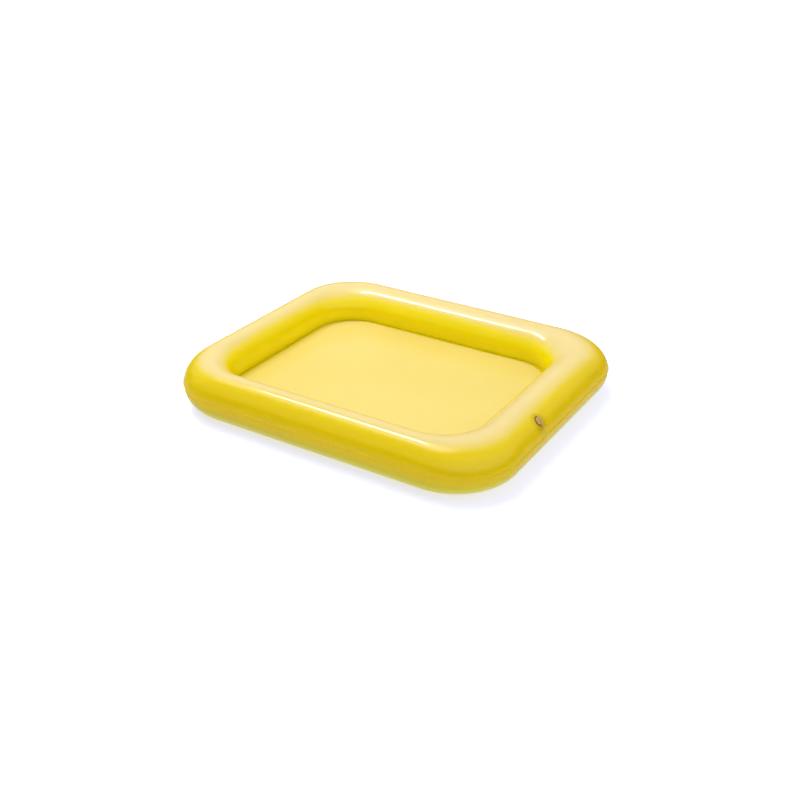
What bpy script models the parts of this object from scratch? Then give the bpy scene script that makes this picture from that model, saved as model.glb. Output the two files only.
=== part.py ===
"""Inflatable rectangular tray: a ring-shaped air tube welded from two films round a taut floor sheet,
with one small clear valve that pushes into the tube on the +X end.

Metres, +Z up. The origin is the centre of the footprint, on the surface that the tray stands on.
Each film is a closed thin solid: a section curve of the tube carried along two matched outlines, the
tube's outer side and the opening inside the ring. The valve is modelled along its own axis, which is
the tube's outward normal, and is placed by an empty on that axis.
"""

import math

import bmesh
import bpy
import numpy as np
from mathutils import Matrix

# Ring, over everything
LENGTH = 0.600
WIDTH = 0.509
HEIGHT = 0.080
SEAM_LIP = 0.002
OUTER_CORNER = 0.099

# Opening inside the ring. It is welded off centre, so the tube is fatter on the valve's end.
TUBE_WIDTH = 0.0736
OPENING_CORNER = 0.0734
OPENING_SHIFT = np.array([-0.0120, -0.0060])

# Welds and film
FILM = 0.0004
GAP = 0.0003
SEAM_HEIGHT = 0.0432
FLOOR_HEIGHT = 0.0244
INNER_LIP = 0.0060
REST_SINK = 0.0010

# Valve: centre along the +X end, and its angle up the tube's section
VALVE_Y = -0.0717
VALVE_ANGLE = math.radians(42.7)
VALVE_HOLE_RADIUS = 0.0078
VALVE_CUT_REACH = 0.0100
FLANGE_RADIUS = 0.0145
FLANGE_THICKNESS = 0.0008
FLANGE_DEPTH = 0.0011
FLANGE_EDGE = 0.0020
STEM_LENGTH = 0.0160
STEM_PROUD = 0.0008
STEM_MOUTH_RADIUS = 0.0050
STEM_BASE_RADIUS = 0.0055
STEM_BEAD_RADIUS = 0.0056
STEM_BEAD_LENGTH = 0.0012
BORE_RADIUS = 0.0037
WEB_WALL = 0.0005
WEB_DEPTH = 0.0130
CAP_RADIUS = 0.0062
CAP_THICKNESS = 0.0014
PLUG_RADIUS = 0.0033
PLUG_LENGTH = 0.0070
TETHER_WIDTH = 0.0030
TETHER_THICKNESS = 0.0008
TETHER_REACH = 0.0098
TETHER_DROP = 0.0006
TETHER_BEND_STEPS = 6
FLAP_RADIUS = 0.0045
FLAP_THICKNESS = 0.0005

# Fineness
CORNER_STEPS = 8
SIDE_STEPS = 3
TOP_ARC_STEPS = 18
BOTTOM_ARC_STEPS = 6
TURNED_STEPS = 32
SHARP_ANGLE = math.radians(35)

HALF_HEIGHT = HEIGHT / 2
LOW_HALF = HALF_HEIGHT + REST_SINK


# ---------------------------------------------------------------- outlines and sections


def rounded_rectangle(length, width, radius, centre):
    """Points round a rounded rectangle, anticlockwise: each corner's arc, then the side after it."""
    signs = ((1, 1), (-1, 1), (-1, -1), (1, -1))
    middles = np.array([(sx * (length / 2 - radius), sy * (width / 2 - radius)) for sx, sy in signs])
    points = []
    for turn, middle in enumerate(middles):
        angles = np.linspace(turn, turn + 1, CORNER_STEPS + 1) * math.pi / 2
        arc = middle + radius * np.column_stack([np.cos(angles), np.sin(angles)])
        last = np.array([math.cos(angles[-1]), math.sin(angles[-1])])
        following = middles[(turn + 1) % 4] + radius * last
        along = np.linspace(0, 1, SIDE_STEPS + 1)[1:-1, None]
        points += [arc, arc[-1] + (following - arc[-1]) * along]
    return np.concatenate(points) + centre


def ring_stations():
    """For each station round the ring: the tube's centre, its half width, and the way outwards."""
    body_length = LENGTH - 2 * SEAM_LIP
    body_width = WIDTH - 2 * SEAM_LIP
    outer = rounded_rectangle(body_length, body_width, OUTER_CORNER, np.zeros(2))
    opening = rounded_rectangle(
        body_length - 2 * TUBE_WIDTH, body_width - 2 * TUBE_WIDTH, OPENING_CORNER, OPENING_SHIFT
    )
    across = (outer - opening) / 2
    half_width = np.linalg.norm(across, axis=1)
    return (outer + opening) / 2, half_width, across / half_width[:, None]


def upper_angle(z):
    """Angle on the section's upper half, seen from the outer side, at a height above mid-height."""
    return math.asin((z - HALF_HEIGHT) / HALF_HEIGHT)


def lower_angle(z):
    """Angle below the equator on the section's lower half, as a positive number, at a height."""
    return math.asin((HALF_HEIGHT - z) / LOW_HALF)


def section_points(angles, half_width):
    """The tube's section: an ellipse whose lower half is flattened where it rests."""
    reach = np.where(np.sin(angles) >= 0, HALF_HEIGHT, LOW_HALF)
    height = np.maximum(HALF_HEIGHT + reach * np.sin(angles), 0)
    u = half_width[:, None] * np.cos(angles)
    return np.stack([u, np.broadcast_to(height, u.shape)], axis=2)


def offset_inwards(profile, thickness):
    """Each station's open profile moved to its left by the film's thickness, mitred at its corners."""
    steps = np.diff(profile, axis=1)
    steps /= np.linalg.norm(steps, axis=2, keepdims=True)
    normals = np.stack([-steps[..., 1], steps[..., 0]], axis=2)
    before = np.concatenate([normals[:, :1], normals], axis=1)
    after = np.concatenate([normals, normals[:, -1:]], axis=1)
    mitre = (before + after) / (1 + (before * after).sum(axis=2, keepdims=True))
    return profile + thickness * mitre


# ---------------------------------------------------------------- mesh helpers


def new_object(name, points, faces, material, parent=None):
    mesh = bpy.data.meshes.new(name)
    mesh.from_pydata([tuple(point) for point in points], [], faces)
    mesh.validate()
    mesh.materials.append(material)
    fix = bmesh.new()
    fix.from_mesh(mesh)
    bmesh.ops.recalc_face_normals(fix, faces=fix.faces)
    fix.to_mesh(mesh)
    fix.free()
    mesh.shade_smooth()
    mesh.set_sharp_from_angle(angle=SHARP_ANGLE)
    made = bpy.data.objects.new(name, mesh)
    bpy.context.scene.collection.objects.link(made)
    made.parent = parent
    return made


def grid_faces(rows, columns, rows_close, columns_close):
    """Quads over a grid of points numbered row by row."""
    row = np.arange(rows if rows_close else rows - 1)[:, None]
    column = np.arange(columns if columns_close else columns - 1)[None, :]
    next_row = (row + 1) % rows
    next_column = (column + 1) % columns
    corners = [
        row * columns + column,
        next_row * columns + column,
        next_row * columns + next_column,
        row * columns + next_column,
    ]
    return np.stack(np.broadcast_arrays(*corners), axis=2).reshape(-1, 4).tolist()


def swept_film(name, profile, material):
    """A film swept round the ring: its outer profile, and the same profile moved into the tube."""
    loops = np.concatenate([profile, offset_inwards(profile, FILM)[:, ::-1]], axis=1)
    centre, _, outwards = ring_stations()
    flat = centre[:, None, :] + outwards[:, None, :] * loops[..., :1]
    points = np.concatenate([flat, loops[..., 1:]], axis=2)
    stations, count = points.shape[:2]
    return new_object(name, points.reshape(-1, 3), grid_faces(stations, count, True, True), material)


def turned(name, profile, material, parent):
    """A closed section of (radius, height) points turned about the parent's Z axis."""
    angles = np.arange(TURNED_STEPS) * 2 * math.pi / TURNED_STEPS
    radius, height = np.array(profile).T
    x = np.cos(angles)[:, None] * radius
    y = np.sin(angles)[:, None] * radius
    points = np.stack([x, y, np.broadcast_to(height, x.shape)], axis=2)
    faces = grid_faces(TURNED_STEPS, len(radius), True, True)
    return new_object(name, points.reshape(-1, 3), faces, material, parent)


def turned_solid(name, profile, material, parent):
    """As turned, for a solid whose open profile starts and ends on the axis: a point closes each end."""
    radius, height = np.array(profile[1:-1]).T
    angles = np.arange(TURNED_STEPS) * 2 * math.pi / TURNED_STEPS
    x = np.cos(angles)[:, None] * radius
    y = np.sin(angles)[:, None] * radius
    points = np.stack([x, y, np.broadcast_to(height, x.shape)], axis=2).reshape(-1, 3)
    faces = grid_faces(TURNED_STEPS, len(radius), True, False)
    first, last = len(points), len(points) + 1
    points = np.concatenate([points, [(0, 0, profile[0][1]), (0, 0, profile[-1][1])]])
    count = len(radius)
    for step in range(TURNED_STEPS):
        here, there = step * count, (step + 1) % TURNED_STEPS * count
        faces.append([first, here, there])
        faces.append([last, there + count - 1, here + count - 1])
    return new_object(name, points, faces, material, parent)


def material(name, colour, roughness, alpha=1.0):
    made = bpy.data.materials.new(name)
    made.use_nodes = True
    shader = made.node_tree.nodes["Principled BSDF"]
    shader.inputs["Base Color"].default_value = (*colour, 1.0)
    shader.inputs["Roughness"].default_value = roughness
    shader.inputs["Metallic"].default_value = 0.0
    shader.inputs["Alpha"].default_value = alpha
    return made


# ---------------------------------------------------------------- the tray


def tube_top_panel():
    """The upper film, from the outer seam's lip over the crown to the lip welded on the floor sheet."""
    _, half_width, _ = ring_stations()
    seam_z = SEAM_HEIGHT + GAP / 2 + FILM
    weld_z = FLOOR_HEIGHT + FILM / 2 + GAP + FILM
    angles = np.linspace(upper_angle(seam_z), math.pi + lower_angle(weld_z), TOP_ARC_STEPS + 1)
    arc = section_points(angles, half_width)
    seam_end = np.stack([half_width + SEAM_LIP, np.full_like(half_width, seam_z)], axis=1)
    weld_end = arc[:, -1] - np.array([INNER_LIP, 0])
    profile = np.concatenate([seam_end[:, None], arc, weld_end[:, None]], axis=1)
    return swept_film("tube_top_panel", profile, material("yellow_film_top", (0.90, 0.76, 0.03), 0.25))


def tube_bottom_panel():
    """The lower film, from the lip under the floor sheet, down and out to the outer seam's lip."""
    _, half_width, _ = ring_stations()
    seam_z = SEAM_HEIGHT - GAP / 2 - FILM
    weld_z = FLOOR_HEIGHT - FILM / 2 - GAP - FILM
    rest = math.acos(HALF_HEIGHT / LOW_HALF)
    inner = np.linspace(math.pi + lower_angle(weld_z), 1.5 * math.pi - rest, BOTTOM_ARC_STEPS + 1)
    outer = np.linspace(1.5 * math.pi + rest, 2 * math.pi + upper_angle(seam_z), BOTTOM_ARC_STEPS + 3)
    arc = section_points(np.concatenate([inner, outer]), half_width)
    weld_end = arc[:, 0] - np.array([INNER_LIP, 0])
    seam_end = np.stack([half_width + SEAM_LIP, np.full_like(half_width, seam_z)], axis=1)
    profile = np.concatenate([weld_end[:, None], arc, seam_end[:, None]], axis=1)
    return swept_film(
        "tube_bottom_panel", profile, material("yellow_film_bottom", (0.86, 0.70, 0.05), 0.25)
    )


def floor_sheet():
    """The taut sheet across the ring. Its edge lies between the two films' inner lips."""
    centre, half_width, outwards = ring_stations()
    crease = half_width * math.cos(lower_angle(FLOOR_HEIGHT))
    edge = centre - outwards * (crease + GAP + FILM)[:, None]
    count = len(edge)
    low = np.column_stack([edge, np.full(count, FLOOR_HEIGHT - FILM / 2)])
    high = np.column_stack([edge, np.full(count, FLOOR_HEIGHT + FILM / 2)])
    sides = [[i, (i + 1) % count, (i + 1) % count + count, i + count] for i in range(count)]
    faces = sides + [list(range(count)), list(range(count, 2 * count))]
    return new_object(
        "floor_sheet", np.concatenate([low, high]), faces, material("yellow_floor", (0.93, 0.80, 0.10), 0.2)
    )


# ---------------------------------------------------------------- the valve


def valve_section():
    """The tube's centre and half width across its section at the valve's end, both along X."""
    outer_x = LENGTH / 2 - SEAM_LIP
    opening_x = outer_x - TUBE_WIDTH + OPENING_SHIFT[0]
    return (outer_x + opening_x) / 2, (outer_x - opening_x) / 2


def valve_axis():
    """An empty on the tube's surface: Z outwards along the normal, X along the tube, Y up the slope."""
    centre_x, half_width = valve_section()
    x = centre_x + half_width * math.cos(VALVE_ANGLE)
    z = HALF_HEIGHT + HALF_HEIGHT * math.sin(VALVE_ANGLE)
    lean = math.atan2(math.sin(VALVE_ANGLE) / HALF_HEIGHT, math.cos(VALVE_ANGLE) / half_width)
    empty = bpy.data.objects.new("valve_axis", None)
    rows = (
        (0, -math.sin(lean), math.cos(lean), x),
        (1, 0, 0, VALVE_Y),
        (0, math.cos(lean), math.sin(lean), z),
        (0, 0, 0, 1),
    )
    empty.matrix_world = Matrix(rows)
    bpy.context.scene.collection.objects.link(empty)
    return empty


def tube_radius():
    """Radius of curvature of the section where the valve sits."""
    _, half_width = valve_section()
    along = math.hypot(half_width * math.sin(VALVE_ANGLE), HALF_HEIGHT * math.cos(VALVE_ANGLE))
    return along**3 / (half_width * HALF_HEIGHT)


def cut_valve_hole(panel, axis):
    """A round hole through the upper film, along the valve's axis."""
    radius = VALVE_HOLE_RADIUS
    reach = VALVE_CUT_REACH
    profile = [(0, -reach), (radius, -reach), (radius, reach), (0, reach)]
    cutter = turned_solid("valve_hole_cutter", profile, panel.data.materials[0], axis)
    cutter.hide_render = True
    cutter.display_type = "WIRE"
    cut = panel.modifiers.new("valve_hole", "BOOLEAN")
    cut.operation = "DIFFERENCE"
    cut.object = cutter


def valve_flange(axis, clear):
    """The thin ring welded inside the upper film, bent to the tube's curve."""
    hole = VALVE_HOLE_RADIUS
    radii = np.array([hole, hole + FLANGE_EDGE, FLANGE_RADIUS - FLANGE_EDGE, FLANGE_RADIUS])
    radius = np.concatenate([radii, radii[::-1]])
    depth = np.repeat([FLANGE_DEPTH, FLANGE_DEPTH + FLANGE_THICKNESS], len(radii))
    angles = np.arange(TURNED_STEPS)[:, None] * 2 * math.pi / TURNED_STEPS
    x = radius * np.cos(angles)
    y = radius * np.sin(angles)
    z = np.sqrt((tube_radius() - depth) ** 2 - y**2) - tube_radius()
    points = np.stack([x, y, z], axis=2).reshape(-1, 3)
    return new_object("valve_flange", points, grid_faces(TURNED_STEPS, len(radius), True, True), clear, axis)


def valve_web(axis, clear):
    """The soft pocket wall between the flange's hole and the stem's base, which rolls as the stem moves."""
    top_radius = VALVE_HOLE_RADIUS - GAP
    foot_radius = STEM_BASE_RADIUS + GAP + WEB_WALL
    top_z = -FLANGE_DEPTH - GAP
    profile = [
        (top_radius, top_z),
        (foot_radius, -WEB_DEPTH),
        (foot_radius - WEB_WALL, -WEB_DEPTH),
        (top_radius - WEB_WALL, top_z),
    ]
    return turned("valve_web", profile, clear, axis)


def valve_stem(axis, clear):
    """The tube that is blown through: a tapered barrel with a bead round its mouth."""
    mouth = STEM_PROUD
    base = mouth - STEM_LENGTH
    profile = [
        (BORE_RADIUS, mouth),
        (STEM_MOUTH_RADIUS, mouth),
        (STEM_BEAD_RADIUS, mouth - STEM_BEAD_LENGTH / 4),
        (STEM_BEAD_RADIUS, mouth - STEM_BEAD_LENGTH * 3 / 4),
        (STEM_MOUTH_RADIUS, mouth - STEM_BEAD_LENGTH),
        (STEM_BASE_RADIUS, base),
        (BORE_RADIUS, base),
    ]
    return turned("valve_stem", profile, clear, axis)


def valve_stopper(axis, clear):
    """The plug that closes the bore, with a low domed cap over the mouth."""
    seat = STEM_PROUD + GAP
    crown = seat + CAP_THICKNESS
    dome = CAP_THICKNESS / 3
    taper = PLUG_LENGTH / 5
    profile = [
        (0, crown + dome / 2),
        (CAP_RADIUS - 2 * CAP_THICKNESS, crown),
        (CAP_RADIUS - dome, crown - dome),
        (CAP_RADIUS, crown - 2 * dome),
        (CAP_RADIUS, seat),
        (PLUG_RADIUS, seat),
        (PLUG_RADIUS, seat - PLUG_LENGTH + taper),
        (PLUG_RADIUS - taper / 2, seat - PLUG_LENGTH),
        (0, seat - PLUG_LENGTH),
    ]
    return turned_solid("valve_stopper", profile, clear, axis)


def valve_tether(axis, clear):
    """The strap that keeps the stopper on: a flat loop, down the slope, from the stem's bead to the cap."""
    low = STEM_PROUD - TETHER_DROP
    high = STEM_PROUD + GAP + CAP_THICKNESS / 2
    start = STEM_BEAD_RADIUS + GAP
    finish = CAP_RADIUS + GAP
    bend = (high - low) / 2
    turn = np.linspace(-math.pi / 2, math.pi / 2, TETHER_BEND_STEPS + 1)
    reach = TETHER_REACH - bend + bend * np.cos(turn)
    lift = (high + low) / 2 + bend * np.sin(turn)
    middle = np.concatenate([[(start, low)], np.column_stack([reach, lift]), [(finish, high)]])
    steps = np.gradient(middle, axis=0)
    steps /= np.linalg.norm(steps, axis=1, keepdims=True)
    side = np.column_stack([-steps[:, 1], steps[:, 0]]) * TETHER_THICKNESS / 2
    half = TETHER_WIDTH / 2
    edges = [(-half, middle - side), (half, middle - side), (half, middle + side), (-half, middle + side)]
    points = np.stack([np.column_stack([np.full(len(p), x), -p[:, 0], p[:, 1]]) for x, p in edges], axis=1)
    count = len(middle)
    faces = grid_faces(count, 4, False, True) + [[0, 1, 2, 3], [4 * count - 4 + i for i in range(4)]]
    return new_object("valve_tether", points.reshape(-1, 3), faces, clear, axis)


def valve_check_flap(axis, clear):
    """The thin disc under the bore that swings into the tube as air comes in. It hinges on its top edge."""
    face = STEM_PROUD - STEM_LENGTH - GAP
    profile = [(0, 0), (FLAP_RADIUS, 0), (FLAP_RADIUS, -FLAP_THICKNESS), (0, -FLAP_THICKNESS)]
    hinge = bpy.data.objects.new("flap_hinge", None)
    hinge.parent = axis
    hinge.location = (0, FLAP_RADIUS, face)
    bpy.context.scene.collection.objects.link(hinge)
    flap = turned_solid("valve_check_flap", profile, clear, hinge)
    flap.location = (0, -FLAP_RADIUS, 0)
    return flap


def main():
    for old in list(bpy.data.objects):
        bpy.data.objects.remove(old, do_unlink=True)
    panel = tube_top_panel()
    tube_bottom_panel()
    floor_sheet()
    axis = valve_axis()
    cut_valve_hole(panel, axis)
    for maker in (valve_flange, valve_web, valve_stem, valve_stopper, valve_tether, valve_check_flap):
        maker(axis, material(maker.__name__ + "_clear_pvc", (0.86, 0.80, 0.62), 0.15, alpha=0.6))


main()
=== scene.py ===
"""Finished look of the inflatable tray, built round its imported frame.

Metres, +Z up, in the frame's own place. The ring is two inflated films, the floor is a taut sheet welded
between their inner lips, and the valve is one soft clear moulding with a check flap. Every surface is a
grid of points worked out as whole arrays.
"""

from __future__ import annotations

import logging
import math
from collections.abc import Callable
from dataclasses import dataclass
from enum import Enum
from typing import Any

import bmesh
import bpy
import numpy as np
from mathutils import Matrix, Vector

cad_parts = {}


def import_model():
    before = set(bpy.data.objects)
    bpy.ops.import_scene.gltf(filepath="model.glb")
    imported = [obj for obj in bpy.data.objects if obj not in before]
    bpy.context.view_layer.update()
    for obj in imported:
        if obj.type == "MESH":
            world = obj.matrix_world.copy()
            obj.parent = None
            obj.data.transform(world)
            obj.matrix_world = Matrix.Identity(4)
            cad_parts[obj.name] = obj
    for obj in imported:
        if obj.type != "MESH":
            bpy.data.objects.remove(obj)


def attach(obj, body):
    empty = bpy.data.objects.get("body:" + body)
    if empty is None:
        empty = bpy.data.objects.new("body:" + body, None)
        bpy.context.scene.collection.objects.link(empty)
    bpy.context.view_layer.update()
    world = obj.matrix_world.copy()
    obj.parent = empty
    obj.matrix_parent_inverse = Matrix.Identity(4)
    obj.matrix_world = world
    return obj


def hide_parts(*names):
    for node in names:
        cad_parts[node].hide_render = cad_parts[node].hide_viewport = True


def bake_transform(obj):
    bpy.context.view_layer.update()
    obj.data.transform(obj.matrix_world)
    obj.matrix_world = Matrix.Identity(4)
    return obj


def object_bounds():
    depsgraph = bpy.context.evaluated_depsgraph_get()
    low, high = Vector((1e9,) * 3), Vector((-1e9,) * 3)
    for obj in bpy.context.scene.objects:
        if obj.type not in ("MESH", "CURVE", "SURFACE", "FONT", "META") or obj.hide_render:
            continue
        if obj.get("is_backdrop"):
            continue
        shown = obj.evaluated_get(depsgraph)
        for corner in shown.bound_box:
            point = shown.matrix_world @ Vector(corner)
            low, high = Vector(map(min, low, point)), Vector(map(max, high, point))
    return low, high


LOG = logging.getLogger("inflatable_tray")
SIDE_END = 7.999999  # the last station of the +X side, just short of the first corner's
SHARP = math.radians(40)  # folds sharper than this stay crisp
Colour = tuple[float, float, float]
Point = tuple[float, float, float]


class Film(Enum):
    """Which of the ring's two films a surface belongs to."""

    TOP = "top"
    BOTTOM = "bottom"


# ------------------------------------------------------------------ shader maths


class Value:
    """A number in a shader: Python's operators on it add Math nodes."""

    def __init__(self, graph: Graph, socket: bpy.types.NodeSocket) -> None:
        """Wraps a socket of a graph."""
        self.graph = graph
        self.socket = socket

    def __add__(self, other: Value | float) -> Value:
        """Sum."""
        return self.graph.maths("ADD", self, other)

    def __radd__(self, other: float) -> Value:
        """Sum with a plain number first."""
        return self.graph.maths("ADD", other, self)

    def __sub__(self, other: Value | float) -> Value:
        """Difference."""
        return self.graph.maths("SUBTRACT", self, other)

    def __rsub__(self, other: float) -> Value:
        """Difference from a plain number."""
        return self.graph.maths("SUBTRACT", other, self)

    def __mul__(self, other: Value | float) -> Value:
        """Product."""
        return self.graph.maths("MULTIPLY", self, other)

    def __rmul__(self, other: float) -> Value:
        """Product with a plain number first."""
        return self.graph.maths("MULTIPLY", other, self)

    def sine(self) -> Value:
        """Sine of the number, in radians."""
        return self.graph.maths("SINE", self)

    def ramp(self, low: float, high: float) -> Value:
        """Eases from 0 at one number to 1 at another, and stays there on both sides.

        Args:
            low: The number that gives 0.
            high: The number that gives 1. It may be the lower of the two.

        Returns:
            The eased number.
        """
        settings = {"interpolation_type": "SMOOTHSTEP"}
        inputs = {"Value": self, "From Min": low, "From Max": high}
        return self.graph.number("ShaderNodeMapRange", "Result", settings, inputs)


class Graph:
    """Builds the nodes of one material or world."""

    def __init__(self, tree: bpy.types.NodeTree) -> None:
        """Takes over a node tree and empties it."""
        self.tree = tree
        tree.nodes.clear()

    def node(
        self, kind: str, settings: dict[str, Any] | None = None, inputs: dict[Any, Any] | None = None
    ) -> bpy.types.Node:
        """Adds one node.

        Args:
            kind: The node's type.
            settings: The node's own settings, which are set first.
            inputs: A number, colour, socket or Value for each socket, by name or number.

        Returns:
            The new node.
        """
        made = self.tree.nodes.new(kind)
        for name, setting in (settings or {}).items():
            setattr(made, name, setting)
        for name, given in (inputs or {}).items():
            source = given.socket if isinstance(given, Value) else given
            if isinstance(source, bpy.types.NodeSocket):
                self.tree.links.new(source, made.inputs[name])
            else:
                made.inputs[name].default_value = source
        return made

    def number(
        self,
        kind: str,
        output: str,
        settings: dict[str, Any] | None = None,
        inputs: dict[Any, Any] | None = None,
    ) -> Value:
        """Adds one node and wraps one of its outputs as a Value."""
        return Value(self, self.node(kind, settings, inputs).outputs[output])

    def maths(self, operation: str, *terms: Value | float) -> Value:
        """Adds one Math node on the terms."""
        return self.number("ShaderNodeMath", "Value", {"operation": operation}, dict(enumerate(terms)))

    def place(self) -> bpy.types.NodeSocket:
        """The surface's own place on the object."""
        return self.node("ShaderNodeTexCoord").outputs["Object"]

    def noise(self, scale: float, detail: float = 2.0, roughness: float = 0.5) -> Value:
        """Cloudy noise from 0 to 1 on the object's own place.

        Args:
            scale: Clouds per metre.
            detail: How many finer octaves it has.
            roughness: How strong the finer octaves are.

        Returns:
            The noise.
        """
        inputs = {"Vector": self.place(), "Scale": scale, "Detail": detail, "Roughness": roughness}
        return self.number("ShaderNodeTexNoise", "Fac", None, inputs)

    def attribute(self, name: str) -> Value:
        """A number that the mesh carries at each point."""
        return self.number("ShaderNodeAttribute", "Fac", {"attribute_name": name})

    def blend(self, factor: Value, first: Any, second: Any) -> bpy.types.NodeSocket:
        """Mixes two colours by a factor."""
        inputs = {0: factor, 6: padded_colour(first), 7: padded_colour(second)}
        return self.node("ShaderNodeMix", {"data_type": "RGBA"}, inputs).outputs[2]

    def towards(self, way: bpy.types.NodeSocket, azimuth: float, elevation: float) -> Value:
        """Cosine of the angle between a ray and one direction: the product of the two, summed.

        Args:
            way: The ray's direction.
            azimuth: Degrees round from +X.
            elevation: Degrees up from level.

        Returns:
            The cosine.
        """
        inputs = {0: way, 1: heading(azimuth, elevation)[:]}
        return self.number("ShaderNodeVectorMath", "Value", {"operation": "DOT_PRODUCT"}, inputs)

    def bump(
        self, height: Value, distance: float, under: bpy.types.NodeSocket | None = None
    ) -> bpy.types.NodeSocket:
        """Turns a height from 0 to 1 into a normal.

        Args:
            height: The relief.
            distance: How high a relief of 1 stands, in metres.
            under: The normal of a coarser or finer relief that this one is laid on.

        Returns:
            The normal.
        """
        inputs = {"Height": height, "Distance": distance}
        if under:
            inputs["Normal"] = under
        return self.node("ShaderNodeBump", None, inputs).outputs["Normal"]


def padded_colour(colour: Any) -> Any:
    """A colour's three numbers with full alpha, or a socket as it is."""
    return (*colour, 1.0) if isinstance(colour, tuple) and len(colour) == 3 else colour


def heading(azimuth: float, elevation: float) -> Vector:
    """The direction at an azimuth and an elevation.

    Args:
        azimuth: Degrees round from +X.
        elevation: Degrees up from level.

    Returns:
        The direction, one unit long.
    """
    turn, rise = math.radians(azimuth), math.radians(elevation)
    level = math.cos(rise)
    return Vector((level * math.cos(turn), level * math.sin(turn), math.sin(rise)))


# ------------------------------------------------------------------ finishes


@dataclass(frozen=True)
class FilmFinish:
    """Glossy PVC film that lets light through.

    Faint clouds of a deep and a pale colour, a fine grain, a shallow ripple, and a pressed crosshatch on
    the welds. A tube's film also has painted sheen, a pale colour along the crown that stands in for the
    soft highlight of overhead light, and painted light, a brighter colour on the inner side.
    Part of the light passes through the film and comes out dyed on its other side, less of it where the
    film faces down.
    """

    name: str
    deep: Colour
    pale: Colour
    weld: Colour
    dye: Colour
    passing: float
    coat_roughness: float
    coat_bend: float
    # Painted sheen: a pale colour on the crown that stands in for the highlight of overhead light.
    crown_painted_sheen: Colour | None = None
    # Painted light: a brighter colour on the inner side that stands in for light coming through the film.
    inner: Colour | None = None
    shut_below: float = 0.0
    coat_loss_below: float = 0.6
    roughness: float = 0.38
    gloss: float = 0.05
    ripple: float = 0.00010
    ripple_scale: float = 30.0
    cloud_scale: float = 5.0
    grain_scale: float = 1400.0
    grain_depth: float = 0.000010
    weld_pitch: float = 0.0016
    weld_depth: float = 0.00012

    def crosshatch(self, graph: Graph) -> Value:
        """Pressed crosshatch from 0 to 1: the product of two waves along X + Y and X - Y.

        Args:
            graph: The material that it is added to.

        Returns:
            The relief.
        """
        split = graph.node("ShaderNodeSeparateXYZ", None, {"Vector": graph.place()})
        x, y = Value(graph, split.outputs["X"]), Value(graph, split.outputs["Y"])
        rate = math.pi / self.weld_pitch
        return 0.5 + 0.5 * ((x + y) * rate).sine() * ((x - y) * rate).sine()

    def material(self) -> bpy.types.Material:
        """Builds the finish as a node material.

        Returns:
            The material.
        """
        made = bpy.data.materials.new(self.name)
        made.use_nodes = True
        graph = Graph(made.node_tree)
        clouds = graph.noise(self.cloud_scale, 3.0)
        grain = graph.noise(self.grain_scale, 2.0)
        smears = graph.noise(self.cloud_scale * 5, 4.0, 0.6)
        weld, under = graph.attribute("weld"), graph.attribute("under")
        colour = graph.blend(clouds.ramp(0.35, 0.65), self.deep, self.pale)
        # Painted light: the inner side gets a brighter colour that stands in for light coming through the
        # film.
        if self.inner:
            colour = graph.blend(graph.attribute("inner_painted_light"), colour, self.inner)
        # Painted sheen: the crown is paled towards a whitish colour that stands in for overhead light's
        # highlight.
        if self.crown_painted_sheen:
            colour = graph.blend(graph.attribute("crown") * (0.85 + 0.3 * smears), colour, self.crown_painted_sheen)
        colour = graph.blend(weld, colour, self.weld)
        roughness = self.roughness + 0.10 * (smears - 0.5) + 0.04 * (grain - 0.5) + 0.10 * weld
        relief = graph.bump(grain, self.grain_depth)
        relief = graph.bump(graph.noise(self.ripple_scale, 1.0), self.ripple, relief)
        relief = graph.bump(self.crosshatch(graph) * weld, self.weld_depth, relief)
        front = graph.node(
            "ShaderNodeBsdfPrincipled",
            None,
            {
                "Base Color": colour,
                "Roughness": roughness,
                "Normal": relief,
                "IOR": 1.5,
                "Specular IOR Level": self.gloss,
                "Coat Weight": 1.0 - self.coat_loss_below * under,
                "Coat Roughness": self.coat_roughness,
                "Coat IOR": self.coat_bend,
            },
        )
        through = graph.node("ShaderNodeBsdfTranslucent", None, {"Color": (*self.dye, 1.0)})
        passing = self.passing * (1.0 - self.shut_below * under)
        sides = {0: passing, 1: front.outputs["BSDF"], 2: through.outputs["BSDF"]}
        film = graph.node("ShaderNodeMixShader", None, sides)
        graph.node("ShaderNodeOutputMaterial", None, {"Surface": film.outputs["Shader"]})
        return made


@dataclass(frozen=True)
class ClearFinish:
    """Clear soft PVC, slightly amber where it is thick, with moulding haze."""

    name: str
    tint: Colour
    haze: Colour
    roughness: float
    transmission: float

    def material(self) -> bpy.types.Material:
        """Builds the finish as a node material.

        Returns:
            The material.
        """
        made = bpy.data.materials.new(self.name)
        made.use_nodes = True
        graph = Graph(made.node_tree)
        haze = graph.noise(260.0, 3.0)
        grain = graph.noise(2600.0, 1.0)
        colour = graph.blend(haze.ramp(0.4, 0.7), self.tint, self.haze)
        shader = graph.node(
            "ShaderNodeBsdfPrincipled",
            None,
            {
                "Base Color": colour,
                "Roughness": self.roughness + 0.12 * (haze - 0.5),
                "Normal": graph.bump(grain, 0.000015),
                "IOR": 1.52,
                "Transmission Weight": self.transmission,
                "Coat Weight": 0.6,
                "Coat Roughness": 0.06,
            },
        )
        graph.node("ShaderNodeOutputMaterial", None, {"Surface": shader.outputs["BSDF"]})
        return made


# ------------------------------------------------------------------ grids


def smooth_step(t: np.ndarray | float) -> np.ndarray:
    """Eases from 0 to 1: three times the square less twice the cube, held at both ends."""
    held = np.clip(t, 0.0, 1.0)
    return held * held * (3 - 2 * held)


def eased(t: np.ndarray, low: float, high: float) -> np.ndarray:
    """Eases from 0 where the number is low to 1 where it is high."""
    return smooth_step((t - low) / (high - low))


def blunt(wave: np.ndarray) -> np.ndarray:
    """Squares off a sine or cosine: the root of its size, with its sign."""
    return np.sign(wave) * np.abs(wave) ** 0.5


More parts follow.
